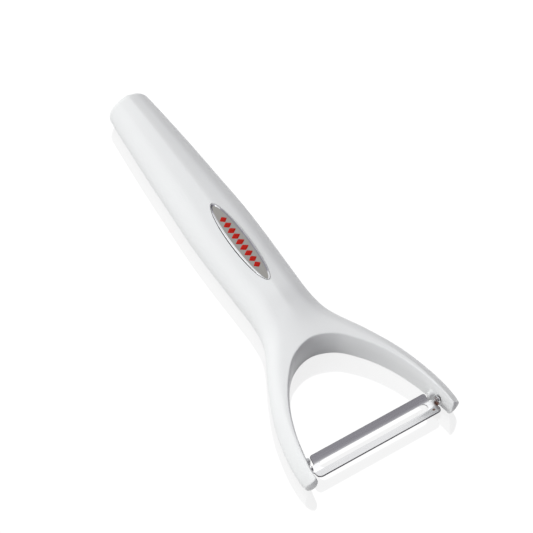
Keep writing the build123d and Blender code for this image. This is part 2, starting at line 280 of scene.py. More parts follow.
def cover_half(y):
    """Half width of the cover's seat at y: its sides follow the cover's own line, and its ends
    bulge a little and turn into the sides in a quarter of a superellipse."""
    start, end = cover_ends
    side = through(cover_line[:, 0], cover_line[:, 1], np.clip(y, start, end))
    bulge = side * bulge_share
    outside = np.maximum(start - y, y - end) - cover_gap + corner_reach
    corner = np.clip(outside / (corner_reach + bulge), 0, 1)
    half = (side + cover_gap) * (1 - corner**corner_power) ** 0.5
    return np.where(outside > corner_reach + bulge, 0, half)


print("the seat is", round(2 * float(cover_half(0.0)), 2), "mm wide at y = 0")

# %% Body: rows along the middle line
crown_rounding, end_rounding = 0.5, 2.4
bend_rows = crown_y + np.concatenate([
    crown_rounding * (1 - np.cos(quarter(6)))[1:],
    np.linspace(crown_rounding, level_y - crown_y, 30)[1:],
])
badge_rows = badge_y - badge_reach * np.cos(np.linspace(0, pi, 49))
seat_rows = np.concatenate([np.linspace(-17.6, -12.6, 15), np.linspace(76.3, 80.6, 15)])
even_rows = np.arange(level_y, end_y - end_rounding, 1.3)
straight_rows = np.sort(np.concatenate([
    # the hollow's ends are there twice, so that its end walls can stand upright
    even_rows, badge_rows, seat_rows, hollow_ends, hollow_ends, [end_y - end_rounding],
]))
straight_rows = straight_rows[straight_rows > level_y + 0.01]
end_rows = end_y - end_rounding * (1 - np.sin(quarter(10)))[1:]
middle_rows = np.concatenate([bend_rows, straight_rows, end_rows])
row_y = np.concatenate([arch_inner[:, 1], middle_rows])
row_count, arch_count = len(row_y), len(arch_rows)
print(row_count, "rows,", arch_count, "of them on the arch")

# %% Body: where each ray starts and ends in plan
tip_lean, lean_length = 0.5, 14  # the arch's upper line leans in by this at the tips
tip_share = np.clip(1 - arch_rows / lean_length, 0, 1)
top_arch_x = arch_inner[:, 0] - tip_lean * tip_share**2
badge_share = np.clip(1 - ((middle_rows - badge_y) / badge_reach) ** 2, 0, 1)
inner_top = np.concatenate([top_arch_x, badge_half * np.sqrt(badge_share)])
cover_edge = cover_half(middle_rows)
inner_low = np.concatenate([arch_inner[:, 0], cover_edge])
bend_share = np.clip((level_y - middle_rows) / (level_y - crown_y), 0, 1)
turn = np.concatenate([ray_turn, np.arctan(np.tan(ray_turn[-1]) * bend_share)])
lean = np.concatenate([arch_turn - ray_turn, np.zeros(len(middle_rows))])

start_x = np.concatenate([top_arch_x, np.zeros(len(middle_rows))])
near, far = np.zeros(row_count), np.full(row_count, 60.0)
for _ in range(46):  # halves the span that holds the ray's end until it is far under a micron
    middle = (near + far) / 2
    reach_y = np.clip(row_y + middle * np.sin(turn), tip_y, end_y)
    inside = start_x + middle * np.cos(turn) < half_width(reach_y)
    near, far = np.where(inside, middle, near), np.where(inside, far, middle)
ray_length = (near + far) / 2
print("rays are", np.round(ray_length.min(), 2), "to", np.round(ray_length.max(), 2), "mm long")


# %% Body: places along the rays, and the drop of a rounded edge
def rays(inner, round_by, steps):
    """Places along the rays, in plan: first close together over the rounded edge, then in
    sine steps that come closer and closer towards the side."""
    first = (inner - start_x)[:, None]
    edge = np.minimum(round_by / np.cos(lean), 0.3 * (ray_length - first[:, 0]))[:, None]
    rounded = first + edge * (1 - np.cos(quarter(6)))
    rest = rounded[:, -1:] + (ray_length[:, None] - rounded[:, -1:]) * np.sin(quarter(steps))[1:]
    distance = np.concatenate([rounded, rest], axis=1)
    x = start_x[:, None] + distance * np.cos(turn)[:, None]
    y = row_y[:, None] + distance * np.sin(turn)[:, None]
    return x, y


def from_arch(x, y, inner):
    """Distance of each place from the arch's outline, in plan, whose x is given by row."""
    line = np.stack([inner[:arch_count], arch_inner[:, 1]], axis=-1)[:, None, None]
    a, b = line[:-1], line[1:]
    place = np.stack([x, y], axis=-1)[None]
    share = np.clip(np.sum((place - a) * (b - a), -1) / np.sum((b - a) ** 2, -1), 0, 1)
    return np.min(np.linalg.norm(place - a - share[..., None] * (b - a), axis=-1), axis=0)


def rounding(distance, radius, lean=0):
    """How far a rounded edge has dropped at a distance from the face beside it. The edge is an
    arc from the level surface to that face, which leans out of the upright by an angle."""
    reach = radius * np.cos(lean)
    return radius - np.sqrt(radius**2 - np.clip(reach - distance, 0, reach) ** 2)


print("a 0.5 mm edge has dropped", round(float(rounding(0.25, 0.5)), 3), "mm halfway over it")

# %% Body: the grids of its top and its underside
# how far the wall's middle stands out, and the radius of its upper edge, both along the arch
bulge = np.interp(arch_rows, [0, 8, 18, 48, arch_length], [0.8, 0.8, 0.5, 0.4, 0.45])
wall_height, low_edge_rounding = 12.4, 0.35
wall_lean = np.arctan(27 / 4 * bulge / wall_height)
edge_rounding = np.interp(arch_rows, [0, 6, arch_length - 16, arch_length], [0.5, 0.6, 0.6, 0.5])
edges = np.append(edge_rounding, np.full(len(middle_rows), crown_rounding))
leans = np.append(wall_lean, np.full(len(middle_rows), wall_lean[-1]))

middle_steps = np.linspace(crown_rounding, 3.0, len(middle_rows))  # wider towards the end
low_steps = np.append(np.full(arch_count, low_edge_rounding), middle_steps)
top_x, top_y = rays(inner_top, np.append(edge_rounding, middle_steps), 30)
low_x, low_y = rays(inner_low, low_steps, 18)
top_z = top_height(top_x, np.clip(top_y, tip_y, end_y))
top_z -= rounding(from_arch(top_x, top_y, inner_top), edges[:, None], leans[:, None])
low_z = low_height(low_x, np.clip(low_y, tip_y, end_y))
low_z += rounding(from_arch(low_x, low_y, inner_low), low_edge_rounding)
top = np.stack([top_x, top_y, top_z], axis=-1)
low = np.stack([low_x, low_y, low_z], axis=-1)[:, ::-1]
low[:, 0] = top[:, -1]
print("top of", top.shape[:2], "points, underside of", low.shape[:2])

# %% [markdown]
# ### The arch's wall
#
# The blade hangs in the wall: a blind hole takes its pin, a shallow scoop above it leads the
# pin in when the arms are sprung apart, and a rib beside it stops the swing. The wall is a
# little convex. It is one grid too, pushed out of its plane by a function of the place, which
# keeps hole, scoop and rib in the same closed skin.

# %% Body: the rib, the scoop and the bearing hole
axis_y, axis_z = -81.30, 6.1  # the pins' axis
rib_y, rib_half_y, rib_z, rib_half_z = -78.05, 0.95, 4.7, 2.4
rib_face, rib_corner, rib_foot = 24.9, 0.8, 0.8
scoop_depth, scoop_half, scoop_edge = 0.25, 0.75, 0.4
scoop_top, scoop_fade = 9.6, 2.4
hole_depth, hole_radius, hole_edge = 2.9, 0.95, 0.2


def relief(x, y, z):
    """The wall's x at y and z. Inside the outline of a box with round corners it is the face
    of a rib, with a foot that flares into the wall. A round step makes the bearing hole, and a
    scoop that gets shallower upwards leads the pin into it."""
    over_y = np.abs(y - rib_y) - rib_half_y + rib_corner
    over_z = np.abs(z - rib_z) - rib_half_z + rib_corner
    beyond = np.hypot(np.maximum(over_y, 0), np.maximum(over_z, 0))
    from_rib = beyond + np.minimum(np.maximum(over_y, over_z), 0) - rib_corner
    rib = smooth(0.5 - from_rib / rib_foot)
    across = smooth(0.5 - (np.abs(y - axis_y) - scoop_half) / scoop_edge)
    scoop = scoop_depth * across * smooth((scoop_top - z) / scoop_fade)
    scoop = np.where(z > axis_z, scoop, 0)
    from_axis = np.hypot(y - axis_y, z - axis_z)
    hole = hole_depth * np.clip(0.5 - (from_axis - hole_radius) / hole_edge, 0, 1)
    return x * (1 - rib) + rib_face * rib + np.maximum(scoop, hole)


print("the hole ends at x =", round(float(relief(27.7, axis_y, axis_z)), 2))

# %% Body: the wall's grid
rise = np.concatenate([  # closest together at the height of the bearing hole
    np.linspace(0, 0.39, 25)[:-1], np.linspace(0.39, 0.60, 53)[:-1], np.linspace(0.60, 1, 27),
])[None, :, None]
wall = low[:arch_count, -1:] * (1 - rise) + top[:arch_count, :1] * rise
out = 27 / 4 * rise[..., 0] ** 2 * (1 - rise[..., 0]) * bulge[:, None]  # most at two thirds
wall[..., 0] -= out * np.cos(arch_turn)[:, None]
wall[..., 1] -= out * np.sin(arch_turn)[:, None]
wall[-1, :, 0] = 0
wall[..., 0] = relief(wall[..., 0], wall[..., 1], wall[..., 2])
print("wall of", wall.shape[:2], "points")

# %% [markdown]
# ### The ends
#
# The tips are cut back to slanted faces that curve three ways, with crisp edges, so that the
# fork slides over a vegetable. The handle's end is rounded all about for the palm. A bevel
# modifier would round every edge alike, so each row near an end is moved inwards by its own
# amount instead, and the last one is closed by rings that shrink to its middle.

# %% Body: moving rows inwards, and raking the tips
rake_front, rake_inner, rake_across = 9.5, 28.9, 3.4  # foremost height and x, and span in x
rake_least, rake_above, rake_below, rake_aside = 1.0, 0.75, 2.6, 1.4  # mm back
rake_length, arch_slant = 6.5, -0.14  # mm of arm that the push fades over, and x for each mm


def loop_inset(loop, by):
    """Each row of points moved inwards by its own amount, square to the row's own line in
    the upright plane across the body. The row is closed: its last point meets its first."""
    ahead, behind = np.roll(loop, -1, axis=1), np.roll(loop, 1, axis=1)
    along_x, along_z = (ahead - behind)[..., 0], (ahead - behind)[..., 2]
    size = np.maximum(np.hypot(along_x, along_z), 1e-9)
    moved = loop.copy()
    moved[..., 0] += by[:, None] * along_z / size
    moved[..., 2] -= by[:, None] * along_x / size
    return moved


def raked(points):
    """The tips' faces: foremost near the top beside the arch, curved back from there to a
    crisp upper edge, further back to the underside, and back towards the side. Each of the
    three is a parabola. The push fades out along the arm, and follows the arch's line."""
    x, y, z = points[..., 0], points[..., 1], points[..., 2]
    above = np.clip((z - rake_front) / (wall_height - rake_front), 0, 1)
    below = np.clip((rake_front - z) / rake_front, 0, 1)
    aside = np.clip((x - rake_inner) / rake_across, 0, 1)
    back = rake_least + rake_above * above**2 + rake_below * below**2 + rake_aside * aside**2
    back *= smooth(1 - (y - tip_y) / rake_length)
    return points + np.stack([arch_slant * (1 - aside) * back, back, 0 * back], axis=-1)


print("the tips are raked by", rake_least, "to", rake_least + rake_below + rake_aside, "mm")

# %% Body: the arms as closed rows, with their tips
loops = np.concatenate([top[:arch_count, :-1], low[:arch_count, :-1], wall[:, :-1]], axis=1)
over_tip = np.clip(tip_rounding - arch_rows, 0, tip_rounding)
tip_inset = tip_rounding - np.sqrt(tip_rounding**2 - over_tip**2)
loops = loop_inset(loops, tip_inset)
loops[..., 2] = np.maximum(loops[..., 2], tip_inset[:, None])
loops = np.concatenate([loops, loops[:, :1]], axis=1)
shrink = np.linspace(0, 1, 13)[:, None, None]
tip_middle = (loops[0].min(axis=0) + loops[0].max(axis=0)) / 2
tip_cap = raked(loops[0] * (1 - shrink) + tip_middle * shrink)
loops = raked(loops)
print("the tips' faces start at y =", round(float(tip_cap[..., 1].min()), 2))

# %% Body: the handle and its rounded end
half_loops = np.concatenate([top, low[:, 1:]], axis=1)[arch_count - 1:]
handle_y = np.append(row_y[arch_count - 1], middle_rows)
over_end = np.clip((handle_y - end_y + end_rounding) / end_rounding, 0, 1)
end_inset = end_rounding * (1 - np.cos(np.arcsin(over_end)))
ends = half_loops[end_inset > 0]
mirror_line = ends[:, ::-1] * (-1, 1, 1)
whole = loop_inset(np.concatenate([ends, mirror_line], axis=1), end_inset[end_inset > 0])
shift = whole[:, : ends.shape[1]] - ends
shift[..., 0] *= smooth(ends[..., 0] / 5)  # none beside the ridge, where its sides would cross
half_loops[end_inset > 0] = ends + shift
half_loops[end_inset > 0, 0, 0] = 0
half_loops[end_inset > 0, -1, 0] = 0
end_middle = np.array((0, end_y, half_loops[-1, :, 2].mean()))
end_cap = half_loops[-1] * (1 - shrink) + end_middle * shrink
print(len(ends), "rows round the handle's end")

# %% Body: the badge's recess
badge_floor = 14.9
in_badge = np.abs(middle_rows - badge_y) < badge_reach + 0.01
recess_top = top[arch_count:][in_badge][:, 0]
recess_floor = recess_top * (1, 1, 0) + (0, 0, badge_floor)
recess = np.stack([recess_top, recess_floor, recess_floor * (0, 1, 1)], axis=1)
print("the recess is", round(float(recess_top[:, 2].max()) - badge_floor, 2), "mm deep")

# %% Body: the cover's seat and the hollow above it
cover_thickness, ledge_width, hollow_top = 1.8, 1.2, 13.2
in_seat = cover_edge > 0
first_row, last_row = np.argmax(in_seat) - 1, len(in_seat) - np.argmax(in_seat[::-1])
seat_edge = low[arch_count:, -1][first_row : last_row + 1]
seat_roof = seat_edge * (1, 1, 0) + (0, 0, cover_thickness)
ledge = np.maximum(seat_edge[:, 0] - ledge_width, 0)
seat_y = seat_edge[:, 1]
in_hollow = np.flatnonzero((seat_y >= hollow_ends[0]) & (seat_y <= hollow_ends[1]))
opened, walled = np.zeros((2, len(seat_y)), bool)
opened[in_hollow[1:-1]] = True
walled[in_hollow] = True
roof = np.where(opened, hollow_top, cover_thickness)
inner_x = np.where(walled, ledge, 0)
hollow = np.stack([
    seat_edge, seat_roof,
    np.stack([inner_x, seat_y, np.full(len(seat_y), cover_thickness)], -1),
    np.stack([inner_x, seat_y, roof], -1),
    np.stack([inner_x * 0, seat_y, roof], -1),
], axis=1)
print("the hollow is", round(hollow_ends[1] - hollow_ends[0], 1), "mm long")

# %% Body: one skin of all its grids
body_grids = mirrored([loops, tip_cap, half_loops, end_cap, recess, hollow])
body = skin("peeler_body", body_grids, crease=40)
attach(body, "handle")
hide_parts("handle_shell")


# %% [markdown]
# ## The blade
#
# The real blade is a strip of stainless sheet. It is blanked with a slot and two narrow necks,
# bent to a shallow channel and ground under the slot's two edges. A bent plane with a Solidify
# modifier would do for the strip, but not for its bevels. So the mesh runs from the slot's
# edge out to the blank's outline, and the same rows carry the bevel, the bend and the sheared
# edge.

# %% Blade: its measures in mm
blade_y, blade_half = -81.15, 4.45
slot_half, slot_centre = 1.525, 21.075  # radius of the slot's ends, and where they are centred
sheet, seat_height, wing_angle = 0.6, 4.6, radians(22.5)
front_y, rear_y = blade_y - blade_half, blade_y + blade_half
front_reach, rear_reach = 25.75, 24.1
front_corner, rear_corner, hollow_corner = 1.7, 0.9, 0.5
neck_reach, neck_half = 25.9, 1.2
print("the slot is", round(2 * (slot_centre + slot_half), 2), "mm long")


# %% Blade: the outline of half of its blank
def arc(centre, radius, start, stop, steps):
    """Points on a circle's arc between two angles in degrees."""
    angle = np.radians(np.linspace(start, stop, steps + 1))
    return np.array(centre) + radius * np.stack([np.cos(angle), np.sin(angle)], axis=-1)


def line(start, stop, steps):
    """Points in even steps from one place to another, both ends included."""
    return np.linspace(start, stop, steps + 1)


corner_x, corner_y = front_reach - front_corner, front_y + front_corner
front_outline = np.concatenate([
    line((0, front_y), (slot_centre, front_y), 30)[:-1],
    line((slot_centre, front_y), (corner_x, front_y), 4)[:-1],
    arc((corner_x, corner_y), front_corner, -90, 0, 10)[:-1],
    line((front_reach, corner_y), (front_reach, axis_y - neck_half - 0.15), 5),
])
neck_line = line((neck_reach, axis_y - neck_half), (neck_reach, axis_y + neck_half), 8)
inner_x, inner_y = rear_reach + hollow_corner, axis_y + neck_half + hollow_corner
outer_x, outer_y = rear_reach - rear_corner, rear_y - rear_corner
rear_outline = np.concatenate([
    arc((inner_x, inner_y), hollow_corner, 270, 180, 6)[:-1],
    line((rear_reach, inner_y), (rear_reach, outer_y), 7)[:-1],
    arc((outer_x, outer_y), rear_corner, 0, 90, 8)[:-1],
    line((outer_x, rear_y), (slot_centre, rear_y), 3)[:-1],
    line((slot_centre, rear_y), (0, rear_y), 30),
])
outline = np.concatenate([front_outline, neck_line, rear_outline])
neck_start, neck_stop = len(front_outline), len(front_outline) + len(neck_line) - 1
print("half of the blank has", len(outline), "places along its outline")

# %% Blade: the slot's edge, one place for each of the outline's
turned = np.arctan2(outline[:, 1] - blade_y, outline[:, 0] - slot_centre)
slot_edge = np.stack([
    slot_centre + slot_half * np.cos(turned), blade_y + slot_half * np.sin(turned)
], axis=-1)
straight = outline[:, 0] < slot_centre
slot_edge[straight, 0] = outline[straight, 0]
slot_edge[straight, 1] = blade_y + slot_half * np.sign(outline[straight, 1] - blade_y)
print(int(straight.sum()), "of them are on the slot's straight sides")

# %% Blade: sheet, bend and bevels
# The wings rise like a hyperbola beyond the slot. The bevel takes sheet off from below.
bend_softness = 0.5
grind_width, grind_depth, grind_end, grind_fade = 0.9, 0.45, 21.6, 1.2
outwards = np.linspace(0, 1, 21)[:, None, None]
plan = slot_edge * (1 - outwards) + outline * outwards
beyond = np.abs(plan[..., 1] - blade_y) - slot_half
root = np.sqrt(beyond**2 + bend_softness**2)
wing_rise = np.tan(wing_angle) * (beyond + root) / 2
slope = np.tan(wing_angle) * (1 + beyond / root) / 2 * np.sign(plan[..., 1] - blade_y)
upper = np.dstack([plan, seat_height + wing_rise])
square = np.stack([0 * slope, -slope, 1 + 0 * slope], -1) / np.sqrt(1 + slope**2)[..., None]
ground = np.clip(1 - np.maximum(beyond, 0) / grind_width, 0, 1)
ground = ground * np.clip((grind_end - plan[..., 0]) / grind_fade, 0, 1)
under = upper - square * (sheet - grind_depth * ground)[..., None]
print("the wings rise", round(float(wing_rise.max()), 2), "mm over the seat")

# %% Blade: the sheared edge, which stands out a little between its two faces
shear = 0.09
direction = np.gradient(outline, axis=0)
outward = np.stack([direction[:, 1], -direction[:, 0]], axis=-1)
outward /= np.linalg.norm(outward, axis=-1, keepdims=True)
outward = np.concatenate([outward, 0 * outward[:, :1]], axis=-1) * shear
outward[[0, -1], 0] = 0
rim_rows = np.stack([
    upper[-1],
    upper[-1] * 0.85 + under[-1] * 0.15 + outward,
    upper[-1] * 0.15 + under[-1] * 0.85 + outward,
    under[-1],
])
print("the edge stands out by", shear, "mm")

# %% [markdown]
# ### The ears
#
# At each end the neck is bent up into an ear with a round eye, and the pin is riveted through
# it. The photograph only hints at them, so they are kept plain. An ear is a closed outline
# carried along the bend, like a ribbon: first round a quarter turn, then straight up, narrower
# and narrower towards the top of the eye.

# %% Blade: the ears, bent up from the necks
turn_radius, ear_radius, ear_rows, ear_start = 0.7, 1.42, 18, -0.72
bend = quarter(8)[1:]
level = seat_height - sheet / 2 + 0.02  # the sheet has risen this little at the neck
upright = axis_z + ear_radius * np.sin(np.linspace(ear_start, pi / 2, ear_rows))
straight_up = np.ones(ear_rows)
middle_x = neck_reach + turn_radius * np.append(np.sin(bend), straight_up)
middle_z = np.append(level + turn_radius * (1 - np.cos(bend)), upright)
face_x, face_z = np.append(-np.sin(bend), -straight_up), np.append(np.cos(bend), 0 * straight_up)
eye = np.sqrt(np.clip(ear_radius**2 - (middle_z - axis_z) ** 2, 0, None))
ear_half = np.where(middle_z < axis_z, np.maximum(eye, neck_half), eye)
print("the ears stand", round(float(middle_x[-1]) * 2, 2), "mm apart")

# %% Blade: the ribbon's cross-section, and the sheet's own edge as its first row
one_way = np.linspace(-1, 1, 9)
sideways = np.concatenate([one_way, [1.07, 1.07], -one_way, [-1.07, -1.07, -1]])
inwards = np.repeat([0.5, 0.35, -0.35, -0.5, -0.35, 0.35, 0.5], [9, 1, 1, 9, 1, 1, 1]) * sheet
ear = np.stack([
    middle_x[:, None] + face_x[:, None] * inwards,
    axis_y + ear_half[:, None] * sideways,
    middle_z[:, None] + face_z[:, None] * inwards,
], axis=-1)
first = np.concatenate([
    upper[-1, neck_start:neck_stop + 1], rim_rows[1:3, neck_stop],
    under[-1, neck_start:neck_stop + 1][::-1], rim_rows[2:0:-1, neck_start],
    upper[-1, neck_start:neck_start + 1],
])
ear = np.concatenate([first[None], ear])
print("the ears reach up to z =", round(float(ear[..., 2].max()), 2))

# %% Blade: one skin of all its grids
blade = skin("peeler_blade", mirrored([
    upper, under, np.stack([upper[0], under[0]]),
    rim_rows[:, :neck_start + 1], rim_rows[:, neck_stop:], ear,
]), crease=34)
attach(blade, "swivel_blade")
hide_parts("blade")

# %% Blade: which faces are the sheared edge
# They stand steeply to the sheet, below the ears' eyes.
face_count = len(blade.data.polygons)
normals, centres = np.zeros(face_count * 3), np.zeros(face_count * 3)
blade.data.polygons.foreach_get("normal", normals)
blade.data.polygons.foreach_get("center", centres)
normals, centres = normals.reshape(-1, 3), centres.reshape(-1, 3) / mm
wing = np.sign(centres[:, 1] - blade_y)
flatness = np.abs(normals[:, 2] * np.cos(wing_angle) - normals[:, 1] * wing * np.sin(wing_angle))
low_down = (centres[:, 2] < seat_height + 2.2) & (np.abs(centres[:, 0]) < front_reach + 0.1)
sheared = (flatness < 0.75) & low_down
mark = blade.data.attributes.new("sheared", "FLOAT", "FACE")
mark.data.foreach_set("value", sheared.astype(float))
print(int(sheared.sum()), "of the blade's faces are sheared edge")


# %% [markdown]
# ## The badge
#
# A pressed rim holds a brushed plate, and nine lozenges of resin stand in a row on it. Such a
# rim could be a bevelled curve, but its crest has to follow the crowned top of the handle, so
# that the badge lies almost flush. So it is one profile carried round an ellipse, whose height
# is read from the handle's own formula.

# %% Badge: the rim
field_x, field_y, plate_top, badge_foot = 2.65, 18.75, 15.56, 15.0
rim_proud, rim_least = 0.03, 0.18  # over the handle, and over the plate
rim_out = np.array([0, 0, 0.4, 0.74, 0.78, 0.82, 0.86, 0.86, 0])
on_crest = np.array([0, 0.02, 0.5, 0.98, 1.0, 0.98, 0.8, 0, 0])[:, None]
on_foot = np.array([1, 0, 0, 0, 0, 0, 0, 1, 1])[:, None]
around = np.linspace(0, 2 * pi, 145)


def carried(out, height, half_x, half_y):
    """A profile carried round the badge's ellipse: each of its points is that far out from
    the ellipse, and at that height."""
    x = (half_x + out[:, None]) * np.cos(around)
    y = badge_y + (half_y + out[:, None]) * np.sin(around)
    return np.stack([x, y, height + 0 * x], axis=-1)


ring = carried(rim_out, 0, field_x, field_y)
crest = np.maximum(top_height(*ring[-2, :, :2].T) + rim_proud, plate_top + rim_least)
rim_z = plate_top + (crest - plate_top) * on_crest
ring[..., 2] = np.where(on_foot > 0, badge_foot, rim_z)
rim = skin("badge_rim", [ring])
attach(rim, "handle")
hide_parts("badge_bezel")

# %% Badge: the brushed plate
plate_rows = np.array([0, 0.3, 0.6, 0.85, 1, 1, 0.5, 0])
plate_height = np.array([plate_top] * 5 + [badge_foot] * 3)
under_rim = 0.1


def disc(share, height, half_x, half_y):
    """A round of rows between the badge's middle and its ellipse: each at a share of the
    ellipse's size, and at a height."""
    x = half_x * share[:, None] * np.cos(around)
    y = badge_y + half_y * share[:, None] * np.sin(around)
    return np.stack([x, y, height[:, None] + 0 * x], axis=-1)


plate_disc = disc(plate_rows, plate_height, field_x + under_rim, field_y + under_rim)
plate = skin("badge_field", [plate_disc])
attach(plate, "handle")
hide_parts("badge_plate")

# %% Badge: the lozenges, each a shallow drop of resin
dome_rows = np.array([0, 0.35, 0.62, 0.82, 0.94, 1.0, 1.0, 0])[:, None]
dome_rise = np.array([0.13, 0.125, 0.112, 0.085, 0.045, 0.0, -0.05, -0.05])[:, None]
lozenge_count, lozenge_pitch, lozenge_x, lozenge_y, lozenge_power = 9, 2.9, 1.85, 1.3, 1.8


def lozenge(place, half_x, half_y):
    """A drop of resin inside a diamond with slightly eased corners: the outline is a
    superellipse with an exponent near one, and rows of the same shape shrink to its top."""
    turn = np.linspace(0, 2 * pi, 49)
    x = half_x * np.sign(np.cos(turn)) * np.abs(np.cos(turn)) ** lozenge_power
    y = half_y * np.sign(np.sin(turn)) * np.abs(np.sin(turn)) ** lozenge_power
    return np.stack([dome_rows * x, place + dome_rows * y, plate_top + dome_rise + 0 * x], -1)


places = (np.arange(lozenge_count) - 4) * lozenge_pitch
narrowing = np.sqrt(1 - (places / field_y) ** 2)
drops = [
    lozenge(badge_y + place, lozenge_x * size, lozenge_y)
    for place, size in zip(places, narrowing)
]
lozenges = skin("badge_lozenges", drops)
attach(lozenges, "handle")
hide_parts("badge_enamel")


# %% [markdown]
# ## Materials
#
# Colours are written as they look on screen and turned into Blender's linear light by one
# function. Patterns are scaled from real millimetres, and a comment says where the real one
# is too fine to show, so that it is drawn coarser. One pixel of the picture is 0.37 mm wide.
# One function makes a material and one adds a node. A real finish changes shine and relief
# together, so one more ties both to a pattern.


# %% Helpers for materials
def colour(code):
    """A colour such as #F0F2F1, from screen values to linear light, with full alpha."""
    screen = np.array([int(code[i : i + 2], 16) for i in (1, 3, 5)]) / 255
    linear = np.where(screen <= 0.04045, screen / 12.92, ((screen + 0.055) / 1.055) ** 2.4)
    return (*linear.tolist(), 1.0)


def material(name, **sockets):
    """A new material and its principled shader, with these values on the shader's sockets."""
    made = bpy.data.materials.new(name)
    made.use_nodes = True
    shader = made.node_tree.nodes["Principled BSDF"]
    for socket, value in sockets.items():
        shader.inputs[socket.replace("_", " ")].default_value = value
    return made, shader


def node(made, kind, values=(), links=(), **settings):
    """Adds a node of that kind: settings on the node, values on its inputs, and links from
    other nodes' outputs to its inputs."""
    new = made.node_tree.nodes.new("ShaderNode" + kind)
    for key, value in settings.items():
        setattr(new, key, value)
    for key, value in dict(values).items():
        new.inputs[key].default_value = value
    for key, output in dict(links).items():
        made.node_tree.links.new(output, new.inputs[key])
    return new


def join(made, output, shader, socket):
    """A link from an output to one of the shader's sockets."""
    made.node_tree.links.new(output, shader.inputs[socket])


def shine_and_grain(made, shader, shine_by, smoothest, roughest, grain_by, strength, depth):
    """Roughness between two values by one pattern, and a bump of a depth in mm by another."""
    shine = node(
        made, "MapRange", {"To Min": smoothest, "To Max": roughest}, {"Value": shine_by}
    )
    join(made, shine.outputs[0], shader, "Roughness")
    grain = node(
        made, "Bump", {"Strength": strength, "Distance": depth * mm}, {"Height": grain_by}
    )
    join(made, grain.outputs["Normal"], shader, "Normal")


def dress(piece, finish):
    """Puts a finish on a piece: in the slots that a CAD node has, or else in a new one."""
    for slot in piece.material_slots:
        slot.material = finish
    if not piece.material_slots:
        piece.data.materials.append(finish)
    print(piece.name, "is finished in", finish.name, "of", len(finish.node_tree.nodes), "nodes")


print("half grey on screen is", round(colour("#808080")[0], 3), "in linear light")


# %% [markdown]
# ### Moulded ABS
#
# The body is ABS, injection moulded in a polished steel mould. The eye sees a white with a
# soft gloss, a shine that changes a little from place to place, and a very fine grain. One
# plain white would look like paper, so noise moves the roughness between two values.

# %% Moulded white ABS
white_plastic, shader = material("moulded_white_abs", Base_Color=colour("#EFF1F0"), IOR=1.53)
place = node(white_plastic, "TexCoord").outputs["Object"]
# patches of shine as wide as the plastic's flow marks
patches = node(white_plastic, "TexNoise", {"Scale": 1 / (7 * mm)}, {"Vector": place})
# the mould's real grain is under 0.1 mm, so it is drawn coarser, to show
grain = node(white_plastic, "TexNoise", {"Scale": 1 / (0.35 * mm)}, {"Vector": place})
shine_and_grain(
    white_plastic, shader, patches.outputs["Fac"], 0.28, 0.40, grain.outputs["Fac"], 0.06, 0.02
)
dress(body, white_plastic)

# %% [markdown]
# ### The underside's cover
#
# The cover is the same plastic from another mould, whose steel was spark-eroded. That leaves
# small pits, and the eye sees a matt face without a highlight, a little greyer than the body.
# Cells of a Voronoi texture are near enough to such pits.

# %% Spark-eroded ABS
cover_plastic, shader = material("spark_eroded_abs", Base_Color=colour("#E9EAEA"), IOR=1.53)
place = node(cover_plastic, "TexCoord").outputs["Object"]
# real pits are under 0.1 mm, so they are drawn coarser, to show
pits = node(
    cover_plastic, "TexVoronoi", {"Scale": 1 / (0.3 * mm)}, {"Vector": place}
).outputs["Distance"]
shine_and_grain(cover_plastic, shader, pits, 0.5, 0.66, pits, 0.35, 0.03)
dress(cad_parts["handle_cover"], cover_plastic)

# %% [markdown]
# ### The badge's tape
#
# A pad of thin foam tape, cut with a die, holds the badge down. Hardly any of it shows. The eye
# would see dark grey with open cells, dull all over.

# %% Die-cut foam tape
foam, shader = material("die_cut_foam_tape", Roughness=0.9, IOR=1.45)
place = node(foam, "TexCoord").outputs["Object"]
# real cells are about 0.2 mm, so they are drawn twice as wide, to show
cells = node(foam, "TexVoronoi", {"Scale": 1 / (0.4 * mm)}, {"Vector": place})
tone = node(
    foam, "Mix", {6: colour("#1E1E1E"), 7: colour("#3E3E3E")}, {0: cells.outputs["Distance"]},
    data_type="RGBA",
)
join(foam, tone.outputs[2], shader, "Base Color")
rough = node(
    foam, "Bump", {"Strength": 0.7, "Distance": 0.1 * mm}, {"Height": cells.outputs["Distance"]}
)
join(foam, rough.outputs["Normal"], shader, "Normal")
dress(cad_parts["badge_tape"], foam)

# %% [markdown]
# ### The badge's plate
#
# The plate is aluminium, brushed lengthwise with a fine belt. The eye sees short lines that
# run along it and a highlight that spreads across them. Noise that is drawn out along Y by a
# Mapping node gives the lines, and they drive colour, roughness and bump together, as one
# scratch does all three.

# %% Brushed aluminium
brushed, shader = material("brushed_aluminium", Metallic=1.0)
place = node(brushed, "TexCoord").outputs["Object"]
# wider than a real 0.03 mm line, to show
line_scale = (1 / (0.16 * mm), 1 / (5 * mm), 1 / (0.5 * mm))
drawn_out = node(brushed, "Mapping", {"Scale": line_scale}, {"Vector": place})
scratch = node(
    brushed, "TexNoise", {"Scale": 1.0, "Detail": 4.0}, {"Vector": drawn_out.outputs[0]}
).outputs["Fac"]
tone = node(
    brushed, "Mix", {6: colour("#787673"), 7: colour("#9C9B97")}, {0: scratch},
    data_type="RGBA",
)
join(brushed, tone.outputs[2], shader, "Base Color")
shine_and_grain(brushed, shader, scratch, 0.3, 0.5, scratch, 0.35, 0.02)
dress(plate, brushed)

# %% [markdown]
# ### The badge's rim and its enamel
#
# The rim is stainless steel, polished on a wheel: almost a mirror, with faint smears. The
# lozenges are a hard red resin, poured and cured. The eye sees a slightly cloudy red with a
# smooth skin and a small highlight. Both need only soft noise at a low strength.

